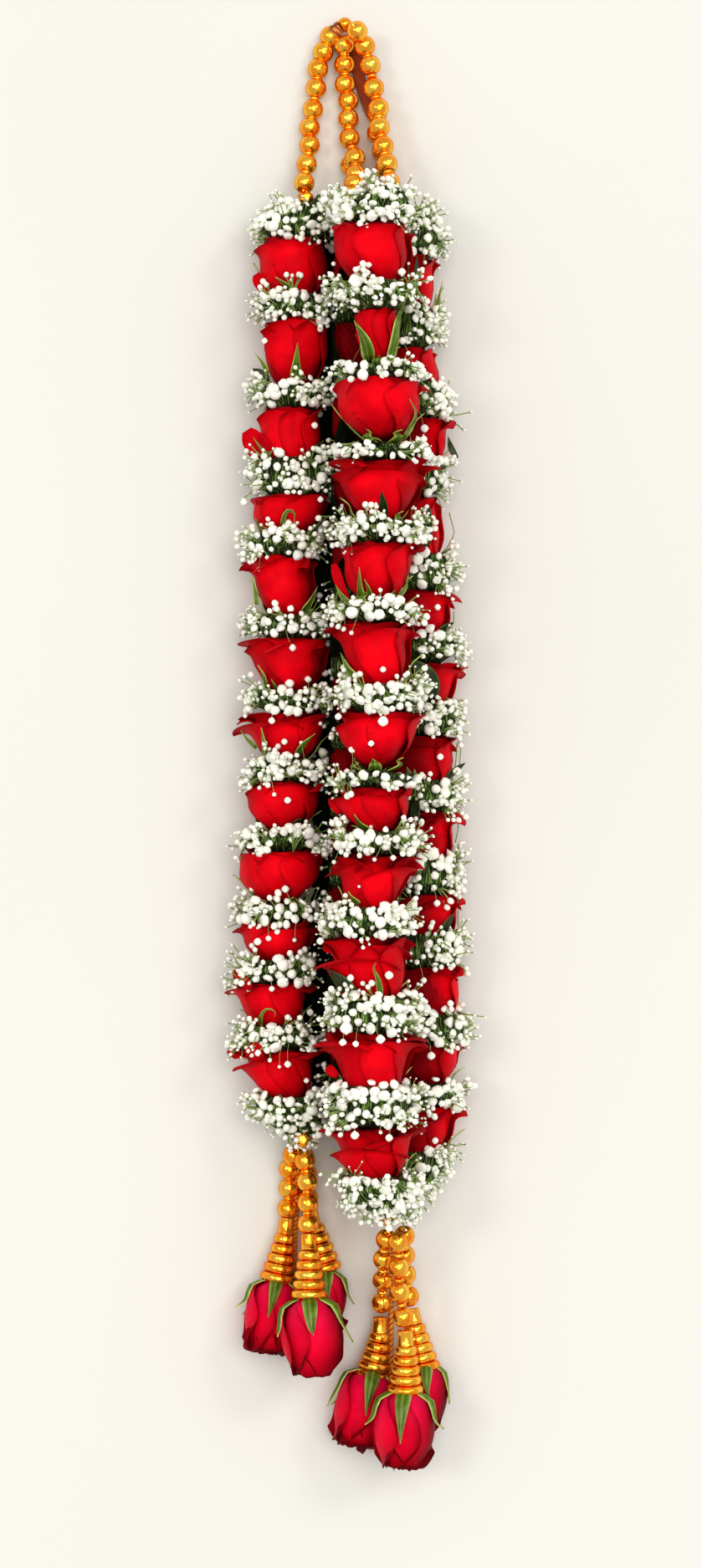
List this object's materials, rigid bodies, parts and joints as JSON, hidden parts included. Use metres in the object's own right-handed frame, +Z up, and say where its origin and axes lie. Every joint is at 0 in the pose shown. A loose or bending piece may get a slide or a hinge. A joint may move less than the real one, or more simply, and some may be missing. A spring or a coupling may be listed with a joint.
{
  "type": "pair of rose garlands",
  "caption": "Two flower garlands laid side by side, each of strung red roses between collars of baby's breath, with a gold bead neck and a bead tassel of rosebuds.",
  "frame": {"origin": "middle of the part's footprint, on the table that it lies on", "axes": "+Y runs along the garlands towards the neck beads, +X across them, +Z up from the table"},
  "size_m": [0.1466, 0.8839, 0.1032],
  "materials": {
    "rose_petals": "satin",
    "bud_petals": "satin",
    "babys_breath": "matte",
    "gold_beads": "gloss",
    "tie_cord": "matte"
  },
  "bodies": {
    "root": {"rose_left_front_01": "rose_petals", "rose_left_front_02": "rose_petals", "rose_left_front_03": "rose_petals", "rose_left_front_04": "rose_petals", "rose_left_front_05": "rose_petals", "rose_left_front_06": "rose_petals", "rose_left_front_07": "rose_petals", "rose_left_front_08": "rose_petals", "rose_left_front_09": "rose_petals", "rose_left_front_10": "rose_petals", "rose_left_front_11": "rose_petals", "rose_left_front_12": "rose_petals", "babys_breath_left_front": "babys_breath", "rose_left_back_01": "rose_petals", "rose_left_back_02": "rose_petals", "rose_left_back_03": "rose_petals", "rose_left_back_04": "rose_petals", "rose_left_back_05": "rose_petals", "rose_left_back_06": "rose_petals", "rose_left_back_07": "rose_petals", "rose_left_back_08": "rose_petals", "rose_left_back_09": "rose_petals", "rose_left_back_10": "rose_petals", "rose_left_back_11": "rose_petals", "rose_left_back_12": "rose_petals", "babys_breath_left_back": "babys_breath", "rose_right_back_01": "rose_petals", "rose_right_back_02": "rose_petals", "rose_right_back_03": "rose_petals", "rose_right_back_04": "rose_petals", "rose_right_back_05": "rose_petals", "rose_right_back_06": "rose_petals", "rose_right_back_07": "rose_petals", "rose_right_back_08": "rose_petals", "rose_right_back_09": "rose_petals", "rose_right_back_10": "rose_petals", "rose_right_back_11": "rose_petals", "rose_right_back_12": "rose_petals", "babys_breath_right_back": "babys_breath", "rose_right_front_01": "rose_petals", "rose_right_front_02": "rose_petals", "rose_right_front_03": "rose_petals", "rose_right_front_04": "rose_petals", "rose_right_front_05": "rose_petals", "rose_right_front_06": "rose_petals", "rose_right_front_07": "rose_petals", "rose_right_front_08": "rose_petals", "rose_right_front_09": "rose_petals", "rose_right_front_10": "rose_petals", "rose_right_front_11": "rose_petals", "rose_right_front_12": "rose_petals", "babys_breath_right_front": "babys_breath", "neck_beads_left": "gold_beads", "neck_beads_right": "gold_beads", "neck_beads_behind": "gold_beads", "neck_tie_cord": "tie_cord", "tassel_left_beads": "gold_beads", "tassel_left_rosebuds": "bud_petals", "tassel_right_beads": "gold_beads", "tassel_right_rosebuds": "bud_petals"}
  },
  "joints": []
}
